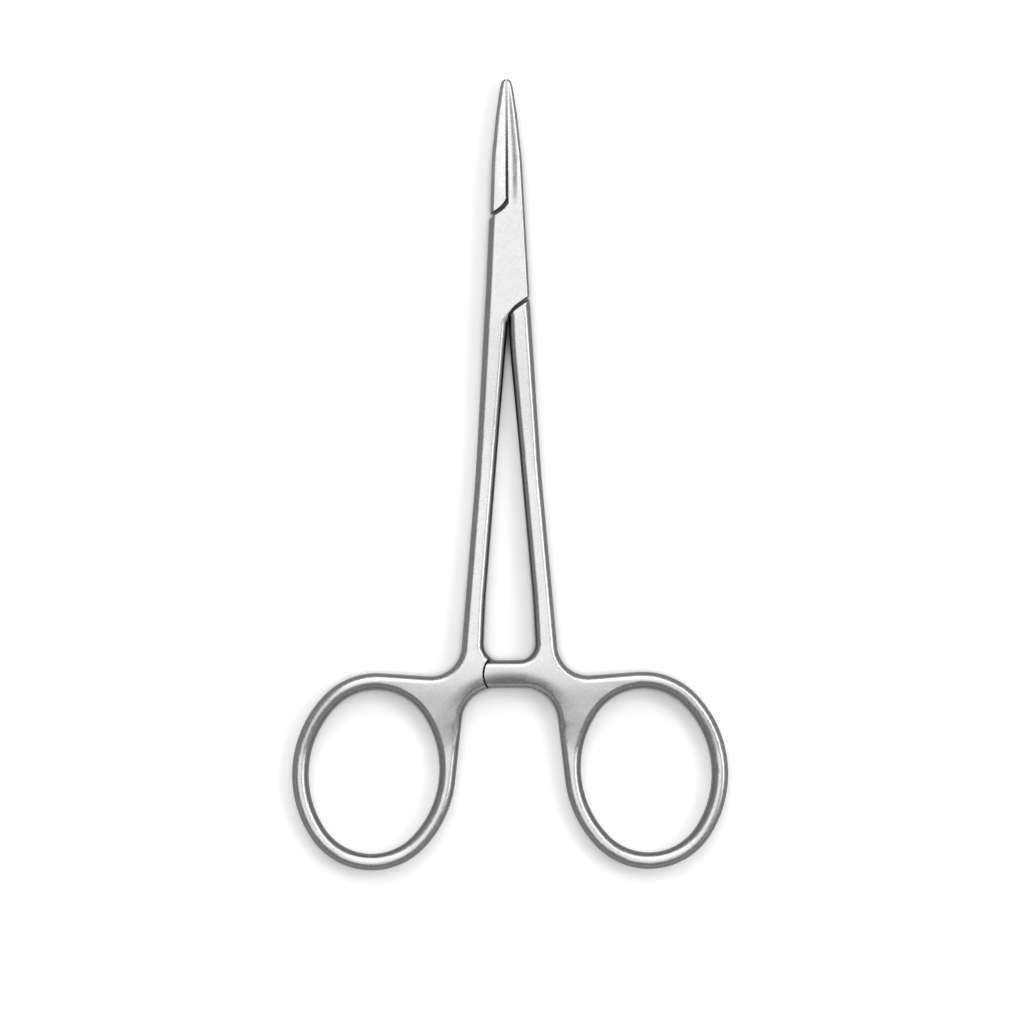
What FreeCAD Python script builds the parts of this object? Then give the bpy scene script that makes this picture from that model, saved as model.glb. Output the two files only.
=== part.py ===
import FreeCAD, Part
import math
import os
import Sketcher
from FreeCAD import Vector

# Hemostat forceps with a box lock, closed and lying flat.
# The pin's axis is the vertical line through the sketches' origin while the pieces are drawn.
# +Y runs to the jaw tips, +Z is the thickness, and the finished pieces are lifted and shifted
# so that the origin lies under the middle of the whole instrument.
# "own side" is the side of the axis on which a half has its shank and its finger ring.

SIZES = [
    # whole instrument
    ("jaw_length", 28.1, "pin to jaw tip"),
    ("handle_length", 96.9, "pin to the far end of the finger rings"),
    ("box_thickness", 4.8, "over both cheeks"),
    ("handle_thickness", 3.0, "shank at its thinnest and finger ring"),
    ("tip_thickness", 2.0, "over the tip"),
    # crown of the ratchet and web, seen from the side
    ("crown_peak", 4.9, "over both crests, before their round"),
    ("crown_reach", 12.0, "from the crest to the foot of its slope along the rings"),
    ("crown_round", 60.0, "crest"),
    ("crown_foot_round", 30.0, "foot of the slope"),
    # fall of the top and bottom towards the arch under the ratchet, turned about an upright axis
    ("arch_place", 79.0, "below the pin, that axis"),
    ("arch_reach", 12.15, "axis to the shoulder, before its round"),
    ("arch_foot", 9.4, "axis to the foot of the fall"),
    ("arch_floor", 3.1, "over both feet"),
    ("arch_round", 9.0, "shoulder"),
    ("arch_inside", 6.0, "axis to the inner limit, clear of the metal"),
    # jaws
    ("tip_half_width", 0.62, "both jaws together, at the very tip"),
    ("tip_round", 0.7, "corner of a tip"),
    ("nose_place", 26.9, "edge bends behind the tip"),
    ("nose_half_width", 0.98, "half width there"),
    ("nose_round", 4.0, "edge there"),
    ("taper_place", 22.5, "where the tip's taper ends"),
    ("taper_half_width", 1.65, "half width there"),
    ("taper_round", 20.0, "edge there"),
    ("root_place", 15.5, "where the jaw's root begins"),
    ("root_half_width", 2.35, "half width there"),
    ("root_round", 40.0, "edge there"),
    ("tip_gap", 0.1, "between the jaws at the tip"),
    ("root_gap", 0.36, "between the jaws at the box"),
    # box lock
    ("waist_place", 5.5, "below the pin, where the box runs into the shanks"),
    ("waist_half_width", 3.42, "half width there"),
    ("waist_round", 80.0, "edge there"),
    ("box_flat", 10.5, "pin to where the thickness starts to fall"),
    ("box_low_round", 40.0, "where the thickness starts to fall to the shanks"),
    ("box_high_round", 15.0, "where the thickness starts to fall to the tips"),
    ("cheek_top_mid", 8.3, "cheek's upper edge on the axis"),
    ("cheek_top_bend_place", 7.31, "bend of that edge"),
    ("cheek_top_bend_side", 0.58, "from the axis to that bend"),
    ("cheek_top_side", 5.9, "cheek's upper edge at the box side"),
    ("cheek_low_mid", 9.2, "cheek's lower edge on the axis"),
    ("cheek_low_bend_place", 7.86, "bend of that edge"),
    ("cheek_low_bend_side", 0.92, "from the axis to that bend"),
    ("cheek_low_side", 6.1, "cheek's lower edge at the box side"),
    ("cheek_surplus", 1.4, "forged below that edge and cut back after the rounding"),
    ("seam_gap", 0.8, "between a cheek's edge and the shoulder"),
    ("seam_round", 4.0, "bend of a cheek's edge and of a shoulder"),
    ("seam_corner_round", 0.8, "where a seam runs into the line between the halves"),
    ("tenon_thickness", 1.9, "the part that passes through the slot"),
    ("slot_play", 0.05, "between the tenon and each cheek"),
    ("wall_mid", 9.4, "tenon's slanted edge at the jaw's gripping face"),
    ("wall_side", 3.3, "tenon's slanted edge at the box side"),
    ("wall_play", 0.25, "along the axis, between that edge and the slot's end"),
    ("pin_diameter", 2.6, "rivet pin"),
    ("pin_play", 0.05, "round the pin in the tenon"),
    # shanks
    ("shank_bend", 34.5, "below the pin, where the outer edge bends"),
    ("shank_bend_width", 5.2, "half width there"),
    ("shank_round", 150.0, "outer edge there"),
    ("shank_foot", 59.0, "below the pin, a second point of the outer edge"),
    ("shank_foot_width", 7.3, "half width there"),
    ("split_place", 14.0, "below the pin, where the shanks start to part"),
    ("split_half_gap", 0.3, "half gap there"),
    ("inner_foot", 54.5, "below the pin, where the inner edge steepens"),
    ("inner_foot_gap", 3.75, "half gap there"),
    ("inner_round", 60.0, "inner edge at both places"),
    ("window_half_width", 4.2, "half gap at the ratchet"),
    ("window_round", 2.6, "corner of the window between the shanks"),
    ("joint_place", 48.0, "below the pin, where blade and handle meet"),
    ("neck_place", 30.0, "below the pin, where the shank is thinnest"),
    ("neck_round", 100.0, "top and bottom there"),
    # ratchet
    ("arm_top", 63.8, "below the pin, the arms' edge towards the jaws"),
    ("arm_width", 4.3, "across an arm"),
    ("arm_reach", 4.0, "past the axis, to the arm's rounded end"),
    ("arm_end_round", 3.4, "the arm's end"),
    ("arm_gap", 0.3, "between an arm's end and the other half"),
    ("lap_gap", 0.12, "between the two arms"),
    ("tooth_pitch", 1.5, "ratchet"),
    ("tooth_depth", 0.7, "ratchet"),
    ("tooth_count", 3, "ratchet teeth on each arm"),
    ("tooth_land", 1.3, "plain end of an arm, before its first tooth"),
    ("crotch_round", 5.5, "arch between an arm and its ring"),
    ("crotch_lean", 6.4, "degrees, ring's inner flank"),
    # finger rings
    ("ring_place", 21.53, "axis to the ring's centre"),
    ("ring_half_width", 10.33, "finger hole"),
    ("ring_half_length", 13.0, "finger hole"),
    ("ring_end_round", 8.9, "finger hole's end"),
    ("ring_band", 2.6, "metal round the finger hole"),
    ("ring_tilt", 5.5, "degrees, the ring's top leans to the axis"),
    ("web_slope", 4.0, "degrees, edge from the shank to the ring"),
    ("web_round", 5.0, "hollow between the shank and that edge"),
    # edges
    ("outer_round", 1.1, "silhouette's edges"),
    ("hole_round", 1.3, "finger hole's edges"),
    ("jaw_round", 0.6, "jaw's outer edges"),
    ("grip_bevel", 0.06, "gripping face's edges"),
    # serrations
    ("serration_pitch", 0.6, "along the jaw"),
    ("serration_fill", 0.9, "share of the pitch that a groove takes"),
    ("serration_depth", 0.1, "into the gripping face"),
    ("serration_start", 10.6, "pin to the first groove"),
    ("serration_end", 27.4, "pin to the last groove"),
    # room for cutters, outside the metal
    ("overcut", 1.0, "past an outline that is cut away"),
    ("side_cut_width", 80.0, "across the instrument, for its side profiles"),
]


# how the edges to round are told apart
UPRIGHT_LIMIT = 0.01
LEVEL_LIMIT = 0.5
FACING_LIMIT = 0.9
SPOT_MARGIN = 0.1


class Dim:
    """A size with its number and its formula in terms of the sheet's cells."""

    def __init__(self, number, formula):
        self.number = number
        self.formula = formula

    def combine(self, other, sign, number):
        return Dim(number, "(%s %s %s)" % (self.formula, sign, other.formula))

    def __add__(self, other):
        other = as_dim(other)
        return self.combine(other, "+", self.number + other.number)

    def __sub__(self, other):
        other = as_dim(other)
        return self.combine(other, "-", self.number - other.number)

    def __mul__(self, other):
        other = as_dim(other)
        return self.combine(other, "*", self.number * other.number)

    def __truediv__(self, other):
        other = as_dim(other)
        return self.combine(other, "/", self.number / other.number)

    def __neg__(self):
        return Dim(-self.number, "(0 - %s)" % self.formula)


def as_dim(value):
    """Gives a plain number the form of a size."""
    if isinstance(value, Dim):
        return value
    return Dim(float(value), "%r" % float(value))


def sine(angle):
    return Dim(math.sin(math.radians(angle.number)), "sin(%s * 1 deg)" % angle.formula)


def cosine(angle):
    return Dim(math.cos(math.radians(angle.number)), "cos(%s * 1 deg)" % angle.formula)


class Sheet:
    """The spreadsheet of driving sizes; each size is read as an attribute."""

    def __init__(self, doc):
        self.sheet = doc.addObject("Spreadsheet::Sheet", "Sizes")
        self.values = {}
        for row, (alias, value, note) in enumerate(SIZES, start=1):
            self.sheet.set("A%d" % row, note)
            self.sheet.set("B%d" % row, repr(value))
            self.sheet.setAlias("B%d" % row, alias)
            self.values[alias] = float(value)
        doc.recompute()

    def __getattr__(self, alias):
        return Dim(self.values[alias], "Sizes.%s" % alias)


def on_line(start, end, place):
    """Point of the line start-end at a given place along Y."""
    share = (place - start[1]) / (end[1] - start[1])
    return (start[0] + (end[0] - start[0]) * share, place)


def crossing(first, slope_first, second, slope_second):
    """Crossing of two lines, each given by a point and its dx/dy slope."""
    top = second[0] - first[0] - slope_second * second[1] + slope_first * first[1]
    place = top / (slope_first - slope_second)
    return (first[0] + slope_first * (place - first[1]), place)


class Drawing:
    """A sketch whose points, radii and centres follow the sheet's cells."""

    def __init__(self, body, name, role):
        self.sketch = body.newObject("Sketcher::SketchObject", name)
        plane = [part for part in body.Origin.OriginFeatures if part.Role == role][0]
        self.sketch.AttachmentSupport = [(plane, "")]
        self.sketch.MapMode = "FlatFace"

    def bind(self, constraint, size=None):
        index = self.sketch.addConstraint(constraint)
        if size is not None:
            self.sketch.setExpression("Constraints[%d]" % index, size.formula)
        return index

    def place_point(self, geometry, end, point):
        """Ties a point of the geometry to its own distances from the sketch's origin."""
        for kind, size in (("DistanceX", point[0]), ("DistanceY", point[1])):
            self.bind(Sketcher.Constraint(kind, -1, 1, geometry, end, size.number), size)

    def radius(self, geometry, size):
        self.bind(Sketcher.Constraint("Radius", geometry, size.number), size)

    def line(self, start, end):
        edge = Part.LineSegment(Vector(start[0], start[1], 0), Vector(end[0], end[1], 0))
        return self.sketch.addGeometry(edge, False)

    def guide_point(self, point):
        """A construction point that stays at a corner cut off by its round."""
        spot = Part.Point(Vector(point[0].number, point[1].number, 0))
        index = self.sketch.addGeometry(spot, True)
        self.place_point(index, 1, point)
        return index

    def arc(self, centre, size, start, end):
        """Arc about a centre; the shorter way round from start to end."""
        angles = []
        for spot in (start, end):
            angles.append(math.atan2(spot[1] - centre[1], spot[0] - centre[0]))
        turn = (angles[1] - angles[0]) % (2.0 * math.pi)
        forward = turn < math.pi
        if not forward:
            angles.reverse()
        circle = Part.Circle(Vector(centre[0], centre[1], 0), Vector(0, 0, 1), size)
        index = self.sketch.addGeometry(Part.ArcOfCircle(circle, angles[0], angles[1]), False)
        return index, forward

    def rounded(self, corners):
        """Closed outline through corners (x, y, radius or None), tangent at each round."""
        count = len(corners)
        spots = []
        for number, (x, y, size) in enumerate(corners):
            here = Vector(x.number, y.number, 0)
            if size is None:
                spots.append((here, here, None))
                continue
            before = corners[number - 1]
            after = corners[(number + 1) % count]
            spots.append(round_corner(before, corners[number], after))
        lines = []
        for number in range(count):
            start = spots[number][1]
            end = spots[(number + 1) % count][0]
            lines.append(self.line((start.x, start.y), (end.x, end.y)))
        for number, (x, y, size) in enumerate(corners):
            incoming = lines[number - 1]
            outgoing = lines[number]
            if size is None:
                self.bind(Sketcher.Constraint("Coincident", incoming, 2, outgoing, 1))
                self.place_point(outgoing, 1, (x, y))
                continue
            guide = self.guide_point((x, y))
            self.bind(Sketcher.Constraint("PointOnObject", guide, 1, incoming))
            self.bind(Sketcher.Constraint("PointOnObject", guide, 1, outgoing))
            start, end, centre = spots[number]
            arc, forward = self.arc((centre.x, centre.y), size.number, (start.x, start.y), (end.x, end.y))
            ends = (1, 2) if forward else (2, 1)
            self.bind(Sketcher.Constraint("Tangent", incoming, 2, arc, ends[0]))
            self.bind(Sketcher.Constraint("Tangent", outgoing, 1, arc, ends[1]))
            self.radius(arc, size)

    def slant(self, geometry, angle):
        """Holds a line at a small angle to the vertical or the horizontal."""
        edge = self.sketch.Geometry[geometry]
        way = edge.EndPoint - edge.StartPoint
        turned = math.degrees(math.atan2(way.y, way.x))
        nearest = 90.0 * round(turned / 90.0)
        sign = 1.0 if turned > nearest else -1.0
        formula = "(%r + %r * %s) * 1 deg" % (nearest, sign, angle.formula)
        self.bind(Sketcher.Constraint("Angle", geometry, math.radians(turned)), Dim(turned, formula))

    def circle(self, centre, size):
        ring = Part.Circle(Vector(centre[0].number, centre[1].number, 0), Vector(0, 0, 1), size.number)
        index = self.sketch.addGeometry(ring, False)
        self.place_point(index, 3, centre)
        self.radius(index, size)

    def capped(self, half, centre, size, far):
        """A bar with one half-round end towards the own side, reaching back to far."""
        side = half.side
        top = centre[1] + size
        low = centre[1] - size
        middle = half.own(*centre)
        back = (far * as_dim(side)).number
        high_line = self.line((back, top.number), (middle[0].number, top.number))
        low_line = self.line((middle[0].number, low.number), (back, low.number))
        rear = self.line((back, low.number), (back, top.number))
        circle = Part.Circle(Vector(middle[0].number, middle[1].number, 0), Vector(0, 0, 1), size.number)
        start = -math.pi / 2.0 if side > 0 else math.pi / 2.0
        cap = self.sketch.addGeometry(Part.ArcOfCircle(circle, start, start + math.pi), False)
        ends = (2, 1) if side > 0 else (1, 2)
        self.bind(Sketcher.Constraint("Tangent", high_line, 2, cap, ends[0]))
        self.bind(Sketcher.Constraint("Tangent", low_line, 1, cap, ends[1]))
        self.bind(Sketcher.Constraint("Coincident", low_line, 2, rear, 1))
        self.bind(Sketcher.Constraint("Coincident", rear, 2, high_line, 1))
        self.bind(Sketcher.Constraint("Horizontal", high_line))
        self.bind(Sketcher.Constraint("Horizontal", low_line))
        self.bind(Sketcher.Constraint("Vertical", rear))
        self.place_point(cap, 3, middle[:2])
        self.radius(cap, size)
        self.bind(Sketcher.Constraint("DistanceX", -1, 1, rear, 1, back), far * as_dim(side))

    def blade_profile(self, s, sign):
        """Side view of what is taken off above (sign 1) or below (sign -1) the blade."""
        two = as_dim(2 * sign)
        box = s.box_thickness / two
        handle = s.handle_thickness / two
        tip = s.tip_thickness / two
        over = box + s.overcut * as_dim(sign)
        end = s.jaw_length + s.overcut
        share = (end - s.box_flat) / (s.jaw_length - s.box_flat)
        neck = (-s.neck_place, handle)
        crest = (-(s.arm_top + s.arm_width / as_dim(2)), s.crown_peak / two)
        self.rounded([
            (-s.joint_place, over, None),
            (*across(neck, crest, -s.joint_place), None),
            (*neck, s.neck_round),
            (-s.box_flat, box, s.box_low_round),
            (s.box_flat, box, s.box_high_round),
            (end, box + (tip - box) * share, None),
            (end, over, None),
        ])

    def handle_profile(self, s, sign):
        """Side view of what is taken off above (sign 1) or below (sign -1) the handle's crown."""
        two = as_dim(2 * sign)
        handle = s.handle_thickness / two
        over = s.box_thickness / two + s.overcut * as_dim(sign)
        end = -(s.handle_length + s.overcut)
        start = s.overcut - s.joint_place
        neck = (-s.neck_place, handle)
        crest = (-(s.arm_top + s.arm_width / as_dim(2)), s.crown_peak / two)
        self.rounded([
            (end, over, None),
            (end, handle, None),
            (crest[0] - s.crown_reach, handle, s.crown_foot_round),
            (*crest, s.crown_round),
            (*across(neck, crest, start), None),
            (start, over, None),
        ])

    def arch_profile(self, s, sign):
        """Half of a turned profile: what is taken off above (sign 1) or below (sign -1) the arch."""
        two = as_dim(2 * sign)
        top = s.box_thickness / two
        floor = s.arch_floor / two
        over = top + s.overcut * as_dim(sign)
        axis = -s.arch_place
        rim = axis + s.arch_reach + s.arch_round
        self.rounded([
            (axis + s.arch_inside, over, None),
            (axis + s.arch_inside, floor, None),
            (axis + s.arch_foot, floor, None),
            (axis + s.arch_reach, top, s.arch_round),
            (rim, top, None),
            (rim, over, None),
        ])

    def upright(self, place):
        """A construction line through a place of a side view, along the thickness."""
        low, high = Vector(place.number, -1.0, 0), Vector(place.number, 1.0, 0)
        index = self.sketch.addGeometry(Part.LineSegment(low, high), True)
        self.place_point(index, 1, (place, as_dim(-1)))
        self.place_point(index, 2, (place, as_dim(1)))


def round_corner(before, corner, after):
    """Start, end and centre of the round at a corner of an outline."""
    here = Vector(corner[0].number, corner[1].number, 0)
    back = (Vector(before[0].number, before[1].number, 0) - here).normalize()
    ahead = (Vector(after[0].number, after[1].number, 0) - here).normalize()
    half = back.getAngle(ahead) / 2.0
    reach = corner[2].number / math.tan(half)
    middle = (back + ahead).normalize() * (corner[2].number / math.sin(half))
    return (here + back * reach, here + ahead * reach, here + middle)


class Half:
    """One forging of the instrument; side is -1 or +1, the sign of X at its shank and ring."""

    def __init__(self, doc, sizes, name, side):
        self.doc = doc
        self.s = sizes
        self.side = side
        self.body = doc.addObject("PartDesign::Body", name)
        self.body.Label = name
        s = sizes
        self.side_line = ((s.root_half_width, s.root_place), (s.waist_half_width, -s.waist_place))
        self.inner_line = ((s.split_half_gap, -s.split_place), (s.inner_foot_gap, -s.inner_foot))
        self.outer_line = ((s.shank_bend_width, -s.shank_bend), (s.shank_foot_width, -s.shank_foot))
        self.inner_joint = on_line(*self.inner_line, -s.joint_place)
        self.outer_joint = on_line(*self.outer_line, -s.joint_place)
        self.arm_middle = -(s.arm_top + s.arm_width / as_dim(2))
        self.cap_centre = (s.arm_end_round - s.arm_reach, self.arm_middle)
        sagitta = math.sqrt(s.arm_end_round.number ** 2 - (s.arm_width.number / 2.0) ** 2)
        self.cap_edge = self.cap_centre[0].number - sagitta
        tilt = s.ring_tilt
        shift = s.ring_half_length - s.ring_end_round
        self.ring_middle = -(s.handle_length - s.ring_band - self.ring_drop())
        flank = self.flank_radius() - s.ring_half_width
        self.ring_top = (s.ring_place - sine(tilt) * shift, self.ring_middle + cosine(tilt) * shift)
        self.ring_foot = (s.ring_place + sine(tilt) * shift, self.ring_middle - cosine(tilt) * shift)
        self.ring_inner = (s.ring_place + cosine(tilt) * flank, self.ring_middle + sine(tilt) * flank)
        self.ring_outer = (s.ring_place - cosine(tilt) * flank, self.ring_middle - sine(tilt) * flank)

    def own(self, u, y, size=None):
        """A corner given by its distance towards the own side."""
        corner = (as_dim(u) * as_dim(self.side), as_dim(y))
        return corner + (None if size is None else as_dim(size),)

    def drawing(self, name, role="XY_Plane"):
        return Drawing(self.body, name, role)

    def feature(self, kind, name, drawing):
        item = self.body.newObject("PartDesign::" + kind, name)
        item.Profile = drawing.sketch
        drawing.sketch.Visibility = False
        return item

    def pad(self, name, drawing, height):
        item = self.feature("Pad", name, drawing)
        item.Midplane = True
        item.setExpression("Length", height.formula)
        self.doc.recompute()

    def cut(self, name, drawing, depth, midplane=False, upward=False):
        """A pocket that must take metal away."""
        before = self.body.Shape.Volume
        item = self.feature("Pocket", name, drawing)
        item.Midplane = midplane
        item.Reversed = upward
        item.setExpression("Length", depth.formula)
        self.doc.recompute()
        if item.Shape.Volume >= before - 1e-6:
            raise RuntimeError(name + " cuts nothing")
        return item

    def ring_drop(self):
        """From the ring's centre to the end of the finger hole, along Y."""
        s = self.s
        return cosine(s.ring_tilt) * (s.ring_half_length - s.ring_end_round) + s.ring_end_round

    def flank_radius(self):
        """Radius of the finger hole's sides, so that they meet its ends without a corner."""
        s = self.s
        shift = s.ring_half_length - s.ring_end_round
        top = s.ring_half_width * s.ring_half_width + shift * shift - s.ring_end_round * s.ring_end_round
        return top / ((s.ring_half_width - s.ring_end_round) * as_dim(2))

    def blade_corners(self, low, high):
        """Jaw, box and upper shank; low and high are the corners where the lock takes over."""
        s = self.s
        corners = [
            self.own(-s.tip_gap / as_dim(2), s.jaw_length),
            self.own(-s.tip_half_width, s.jaw_length, s.tip_round),
            self.own(-s.nose_half_width, s.nose_place, s.nose_round),
            self.own(-s.taper_half_width, s.taper_place, s.taper_round),
            self.own(-s.root_half_width, s.root_place, s.root_round),
        ]
        corners += low
        corners += [
            self.own(s.split_half_gap, -s.split_place, s.inner_round),
            self.own(*self.inner_joint),
            self.own(*self.outer_joint),
            self.own(s.shank_bend_width, -s.shank_bend, s.shank_round),
            self.own(s.waist_half_width, -s.waist_place, s.waist_round),
        ]
        corners += high
        return corners

    def handle_outline(self, drawing):
        """Lower shank, ratchet arm, web and ring in one closed outline."""
        s = self.s
        arm_foot = s.arm_top + s.arm_width
        window = self.own(s.window_half_width, -s.arm_top, s.window_round)
        foot = self.own(s.inner_foot_gap, -s.inner_foot, s.inner_round)
        start = self.own(*self.inner_joint)
        finish = self.own(*self.outer_joint)
        # corners of the rounds, as numbers, for the first place of each edge
        lean = math.radians(s.crotch_lean.number)
        flank = self.flank_radius().number + s.ring_band.number
        touch_in = (self.ring_inner[0].number - flank * math.cos(lean),
                    self.ring_inner[1].number - flank * math.sin(lean))
        slope = math.radians(s.web_slope.number)
        end_round = s.ring_end_round.number + s.ring_band.number
        touch_top = (self.ring_top[0].number - end_round * math.sin(slope),
                     self.ring_top[1].number + end_round * math.cos(slope))
        crotch_u = touch_in[0] - (-arm_foot.number - touch_in[1]) * math.tan(lean)
        crotch = self.own(crotch_u, -arm_foot.number, s.crotch_round.number)
        outer = [(point[0].number, point[1].number) for point in self.outer_line]
        shank_slope = (outer[1][0] - outer[0][0]) / (outer[1][1] - outer[0][1])
        hollow_spot = crossing(outer[0], shank_slope, touch_top, 1.0 / math.tan(slope))
        hollow = self.own(hollow_spot[0], hollow_spot[1], s.web_round.number)
        cap_top = self.own(self.cap_edge, -s.arm_top)
        cap_low = self.own(self.cap_edge, -arm_foot)
        flank_touch = self.own(*touch_in)
        top_touch = self.own(*touch_top)
        rounds = {
            "foot": round_corner(start, foot, window),
            "window": round_corner(foot, window, cap_top),
            "crotch": round_corner(cap_low, crotch, flank_touch),
            "hollow": round_corner(top_touch, hollow, finish),
        }

        def flat(corner):
            return (corner[0].number, corner[1].number)

        def spot(name, place):
            point = rounds[name][place]
            return (point.x, point.y)

        inner_shank = drawing.line(flat(start), spot("foot", 0))
        steep = drawing.line(spot("foot", 1), spot("window", 0))
        arm_high = drawing.line(spot("window", 1), flat(cap_top))
        arm_low = drawing.line(flat(cap_low), spot("crotch", 0))
        gusset = drawing.line(spot("crotch", 1), flat(flank_touch))
        web_edge = drawing.line(flat(top_touch), spot("hollow", 0))
        outer_shank = drawing.line(spot("hollow", 1), flat(finish))
        closing = drawing.line(flat(finish), flat(start))

        tangent_pairs = []

        def bend(name, before, after, size):
            first, last, centre = rounds[name]
            arc, forward = drawing.arc((centre.x, centre.y), size.number,
                                       (first.x, first.y), (last.x, last.y))
            ends = (1, 2) if forward else (2, 1)
            tangent_pairs.append((before, 2, arc, ends[0]))
            tangent_pairs.append((after, 1, arc, ends[1]))
            drawing.radius(arc, size)

        bend("foot", inner_shank, steep, s.inner_round)
        bend("window", steep, arm_high, s.window_round)
        bend("crotch", arm_low, gusset, s.crotch_round)
        bend("hollow", web_edge, outer_shank, s.web_round)

        cap_own = self.own(*self.cap_centre)
        cap, forward = drawing.arc(flat(cap_own), s.arm_end_round.number, flat(cap_top), flat(cap_low))
        cap_ends = (1, 2) if forward else (2, 1)
        drawing.bind(Sketcher.Constraint("Coincident", arm_high, 2, cap, cap_ends[0]))
        drawing.bind(Sketcher.Constraint("Coincident", arm_low, 1, cap, cap_ends[1]))
        drawing.place_point(cap, 3, cap_own)
        drawing.radius(cap, s.arm_end_round)

        arcs = self.ring_arcs(drawing, flat(flank_touch), flat(top_touch))
        tangent_pairs.append((gusset, 2, arcs[0][0], arcs[0][1]))
        tangent_pairs.append((web_edge, 1, arcs[-1][0], arcs[-1][2]))
        for first, first_end, second, second_end in tangent_pairs:
            drawing.bind(Sketcher.Constraint("Tangent", first, first_end, second, second_end))

        drawing.place_point(inner_shank, 1, start[:2])
        drawing.place_point(outer_shank, 2, finish[:2])
        for corner, lines in ((foot, (inner_shank, steep)), (window, (steep, arm_high))):
            guide = drawing.guide_point(corner[:2])
            for edge in lines:
                drawing.bind(Sketcher.Constraint("PointOnObject", guide, 1, edge))
        guide = drawing.guide_point(self.own(s.shank_foot_width, -s.shank_foot)[:2])
        drawing.bind(Sketcher.Constraint("PointOnObject", guide, 1, outer_shank))
        drawing.bind(Sketcher.Constraint("Horizontal", arm_high))
        drawing.bind(Sketcher.Constraint("Horizontal", arm_low))
        low = -arm_foot
        drawing.bind(Sketcher.Constraint("DistanceY", -1, 1, arm_low, 1, low.number), low)
        drawing.slant(gusset, s.crotch_lean)
        drawing.slant(web_edge, s.web_slope)
        drawing.bind(Sketcher.Constraint("Coincident", closing, 1, outer_shank, 2))
        drawing.bind(Sketcher.Constraint("Coincident", closing, 2, inner_shank, 1))

    def oval_parts(self, band):
        """Centres and radii of the oval's four arcs, a band's width outside the finger hole."""
        s = self.s
        end_size = s.ring_end_round + band
        flank_size = self.flank_radius() + band
        names = ("ring_inner", "ring_foot", "ring_outer", "ring_top")
        parts = []
        for name, size in zip(names, (flank_size, end_size, flank_size, end_size)):
            centre = getattr(self, name)
            parts.append((self.own(*centre), size))
        return parts

    def oval_joints(self, parts):
        """Points where neighbouring arcs of the oval meet, in the order of the arcs."""
        joints = []
        for number, (centre, size) in enumerate(parts):
            other, other_size = parts[(number + 1) % 4]
            wide, narrow = (centre, other) if size.number > other_size.number else (other, centre)
            reach = max(size.number, other_size.number)
            start = Vector(wide[0].number, wide[1].number, 0)
            way = (Vector(narrow[0].number, narrow[1].number, 0) - start).normalize()
            point = start + way * reach
            joints.append((point.x, point.y))
        return joints

    def ring_arcs(self, drawing, first, last):
        """The ring's outer arcs from its inner flank round its foot to its top."""
        parts = self.oval_parts(self.s.ring_band)
        joints = self.oval_joints(parts)
        spots = [first] + joints[:3] + [last]
        arcs = []
        for number, (centre, size) in enumerate(parts):
            flat = (centre[0].number, centre[1].number)
            arc, forward = drawing.arc(flat, size.number, spots[number], spots[number + 1])
            ends = (1, 2) if forward else (2, 1)
            arcs.append((arc, ends[0], ends[1]))
            if number != 2:
                drawing.place_point(arc, 3, centre[:2])
            if number != 0:
                drawing.radius(arc, size)
        for before, after in zip(arcs, arcs[1:]):
            drawing.bind(Sketcher.Constraint("Tangent", before[0], before[2], after[0], after[1]))
        return arcs

    def finger_hole(self, drawing):
        parts = self.oval_parts(as_dim(0))
        joints = self.oval_joints(parts)
        arcs = []
        for number, (centre, size) in enumerate(parts):
            flat = (centre[0].number, centre[1].number)
            arc, forward = drawing.arc(flat, size.number, joints[number - 1], joints[number])
            ends = (1, 2) if forward else (2, 1)
            arcs.append((arc, ends[0], ends[1]))
        for number in range(4):
            before = arcs[number - 1]
            after = arcs[number]
            drawing.bind(Sketcher.Constraint("Tangent", before[0], before[2], after[0], after[1]))
        for number in (1, 3):
            drawing.place_point(arcs[number][0], 3, parts[number][0][:2])
        drawing.radius(arcs[0][0], parts[0][1])
        drawing.radius(arcs[1][0], parts[1][1])
        drawing.bind(Sketcher.Constraint("Equal", arcs[0][0], arcs[2][0]))
        drawing.bind(Sketcher.Constraint("Equal", arcs[1][0], arcs[3][0]))

    def shape_handle(self):
        """Forges the lower half: its plan, its crowned side view, then the finger hole."""
        s = self.s
        plan = self.drawing("HandlePlan")
        self.handle_outline(plan)
        self.doc.recompute()
        self.pad("Handle", plan, s.box_thickness)
        profile = self.drawing("CrownProfile", "YZ_Plane")
        for sign in (1, -1):
            profile.handle_profile(s, sign)
        self.doc.recompute()
        self.cut("Crown", profile, s.side_cut_width, midplane=True)
        hole = self.drawing("FingerHoleOutline")
        self.finger_hole(hole)
        self.doc.recompute()
        self.cut("FingerHole", hole, s.box_thickness * as_dim(2), midplane=True)

    def shape_blade(self, low, high):
        """Forges the jaw, box and upper shank and tapers their thickness."""
        s = self.s
        plan = self.drawing("BladePlan")
        plan.rounded(self.blade_corners(low, high))
        self.doc.recompute()
        self.pad("Blade", plan, s.box_thickness)
        profile = self.drawing("ThicknessProfile", "YZ_Plane")
        for sign in (1, -1):
            profile.blade_profile(s, sign)
        self.doc.recompute()
        self.cut("Thickness", profile, s.side_cut_width, midplane=True)

    def rims(self):
        """Edges between an upright side and the top or bottom, as (name, edge, side's normal)."""
        found = []
        shape = self.body.Shape
        for number, edge in enumerate(shape.Edges, start=1):
            middle = edge.valueAt((edge.FirstParameter + edge.LastParameter) / 2.0)
            uprights = []
            levels = 0
            for face in shape.ancestorsOfType(edge, Part.Face):
                normal = face.normalAt(*face.Surface.parameter(middle))
                if abs(normal.z) < UPRIGHT_LIMIT:
                    uprights.append(normal)
                elif abs(normal.z) > LEVEL_LIMIT:
                    levels += 1
            if len(uprights) == 1 and levels == 1:
                found.append(("Edge%d" % number, middle, uprights[0]))
        return found

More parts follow.
